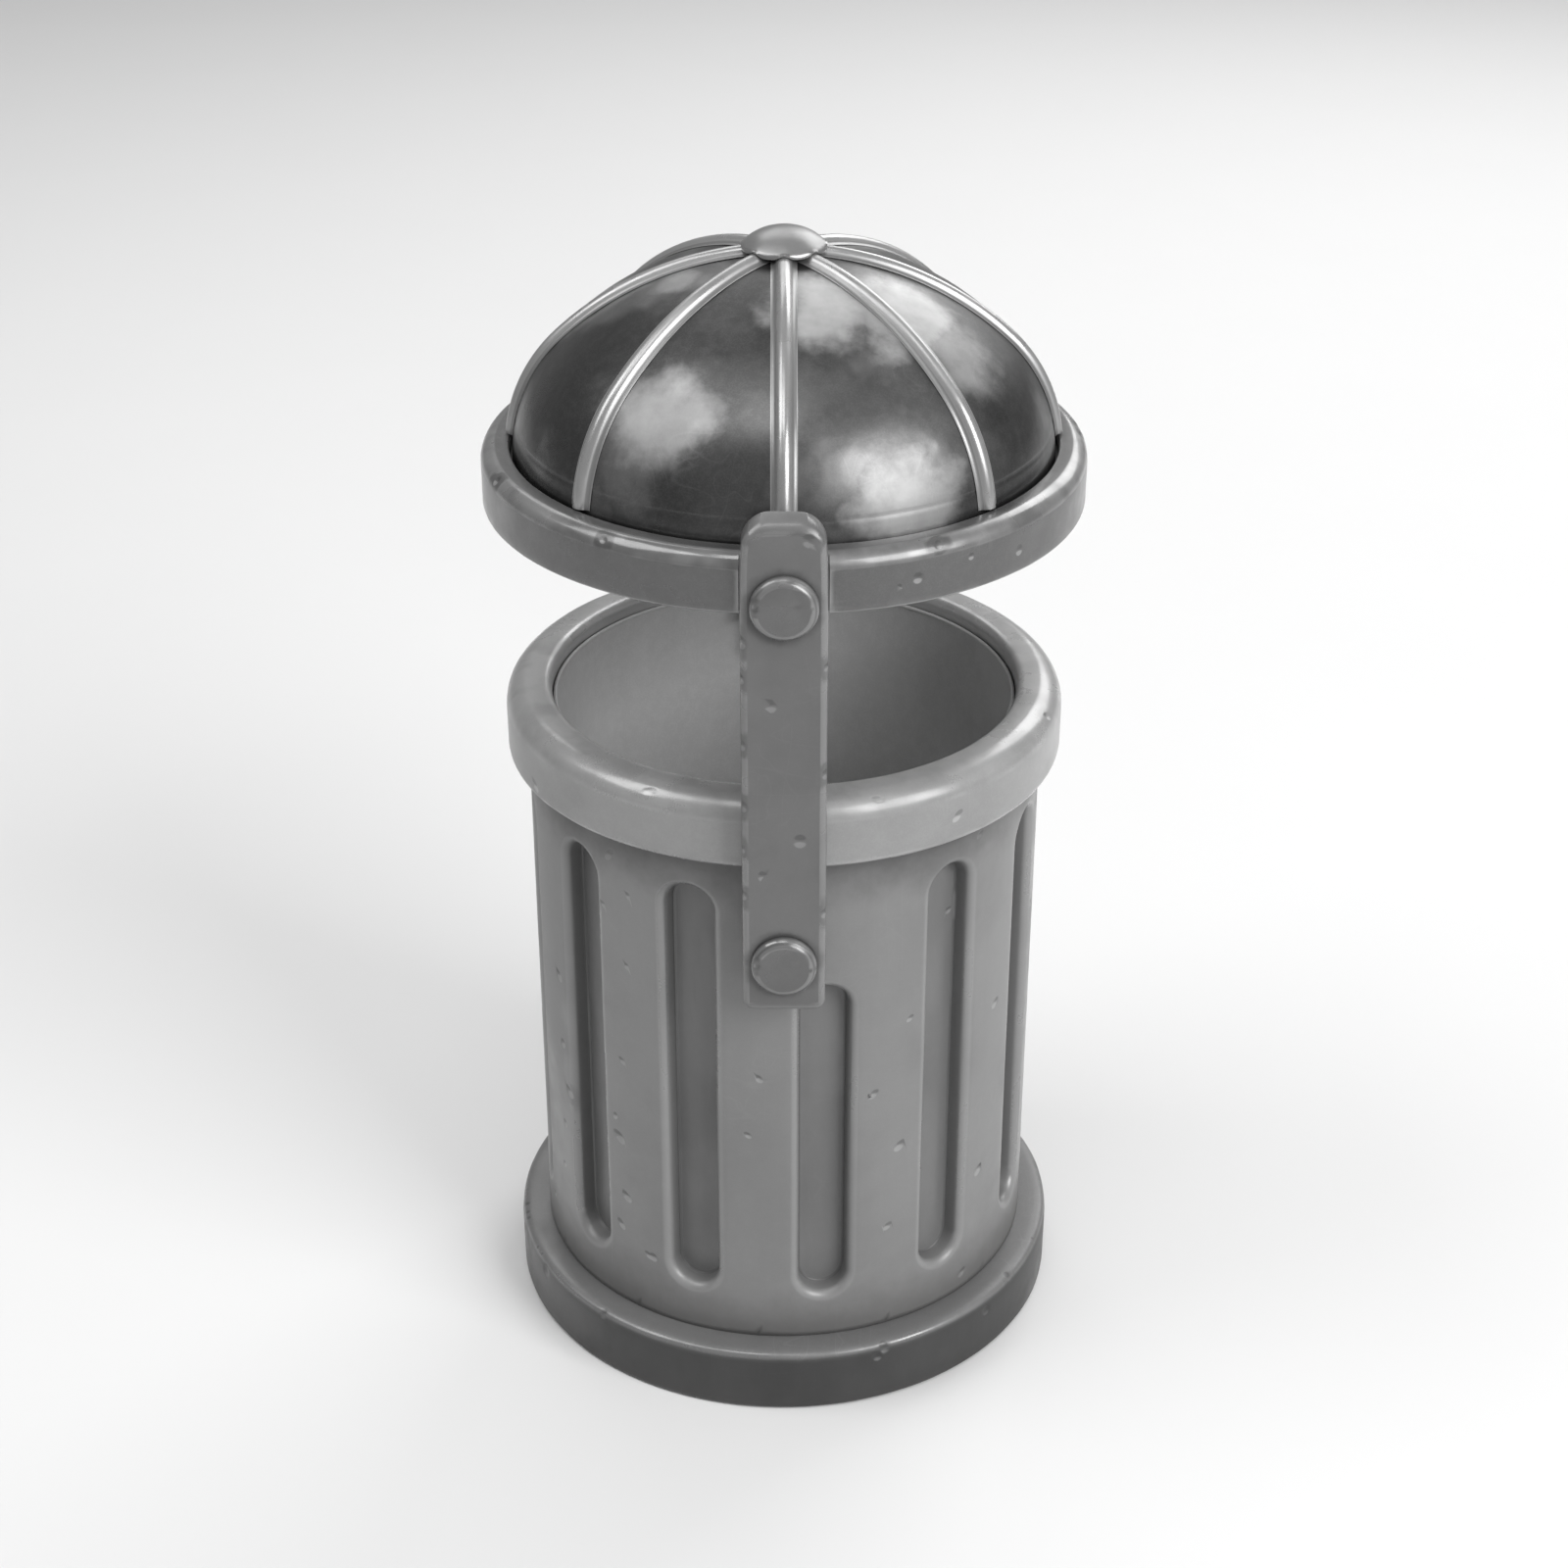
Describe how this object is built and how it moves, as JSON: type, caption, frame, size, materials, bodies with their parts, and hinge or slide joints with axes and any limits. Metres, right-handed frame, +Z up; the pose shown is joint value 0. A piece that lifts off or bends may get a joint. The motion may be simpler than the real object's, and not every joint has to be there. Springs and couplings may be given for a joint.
{
  "type": "outdoor waste bin",
  "caption": "Round outdoor litter bin: fluted shell on a base ring, collar, lift-out liner, and a ribbed dome hood on two side arms that swings aside.",
  "frame": {"origin": "centre of the footprint, on the ground under the base ring", "axes": "+Z up; the front arm faces -Y and the rear arm +Y; the hood swings about an axis along Y"},
  "size_m": [0.5959, 0.6446, 1.1941],
  "materials": {
    "base_iron": "satin grey paint, worn on the top edge",
    "shell_paint": "satin light grey, small dents and scuffs",
    "collar_paint": "satin pale grey, polished by hands on the edge",
    "arm_metal": "satin cast bar with a rubbed bevel",
    "band_metal": "satin casting with a bright worn top edge",
    "bolt_heads": "satin, rubbed round the edge",
    "dome_metal": "dark polished sheet with cloudy bright patches",
    "rib_metal": "polished",
    "zinc_steel": "galvanised, finely mottled",
    "bright_rod": "zinc plated",
    "fixings": "zinc plated",
    "bronze": "dull bearing bronze",
    "rubber": "matt black",
    "nylon": "matt black"
  },
  "bodies": {
    "bin_body": {"base_ring": "base_iron", "floor_plate": "zinc_steel", "floor_screws": "fixings", "rest_pads": "rubber", "shell": "shell_paint", "collar": "collar_paint", "tie_rods": "fixings", "tie_rod_washers": "fixings", "tie_rod_nuts": "fixings", "pivot_boss_front": "shell_paint", "pivot_boss_rear": "shell_paint", "pivot_pad_front": "fixings", "pivot_pad_rear": "fixings", "pivot_bolt_front": "bolt_heads", "pivot_bolt_rear": "bolt_heads", "pivot_nut_front": "fixings", "pivot_nut_rear": "fixings", "friction_washer_front": "nylon", "friction_washer_rear": "nylon"},
    "liner_bucket": {"liner": "zinc_steel", "handle_bracket_front": "fixings", "handle_bracket_rear": "fixings", "bracket_rivets": "fixings"},
    "front_handle": {"handle_front": "bright_rod"},
    "rear_handle": {"handle_rear": "bright_rod"},
    "hood": {"arm_front": "arm_metal", "arm_rear": "arm_metal", "pivot_bush_front": "bronze", "pivot_bush_rear": "bronze", "lid_band": "band_metal", "upper_bolt_front": "bolt_heads", "upper_bolt_rear": "bolt_heads", "upper_washers": "fixings", "upper_nuts": "fixings", "dome_shell": "dome_metal", "dome_screws": "fixings", "dome_nuts": "fixings", "rib_1": "rib_metal", "rib_2": "rib_metal", "rib_3": "rib_metal", "rib_4": "rib_metal", "rib_5": "rib_metal", "rib_6": "rib_metal", "rib_7": "rib_metal", "rib_8": "rib_metal", "rib_nuts": "fixings", "cap": "rib_metal", "hub_plate": "fixings", "hub_nut": "fixings"}
  },
  "joints": [
    {"name": "hood_swing", "type": "hinge", "parent": "bin_body", "child": "hood", "pos_m": [0, 0, 0.564], "axis": [0, 1, 0], "range_deg": [-90, 90]},
    {"name": "liner_lift", "type": "slide", "parent": "bin_body", "child": "liner_bucket", "axis": [0, 0, 1], "range_m": [0, 0.18]},
    {"name": "front_handle_swing", "type": "hinge", "parent": "liner_bucket", "child": "front_handle", "pos_m": [0, -0.2155, 0.69], "axis": [1, 0, 0], "range_deg": [0, 170]},
    {"name": "rear_handle_swing", "type": "hinge", "parent": "liner_bucket", "child": "rear_handle", "pos_m": [0, 0.2155, 0.69], "axis": [-1, 0, 0], "range_deg": [0, 170]}
  ]
}
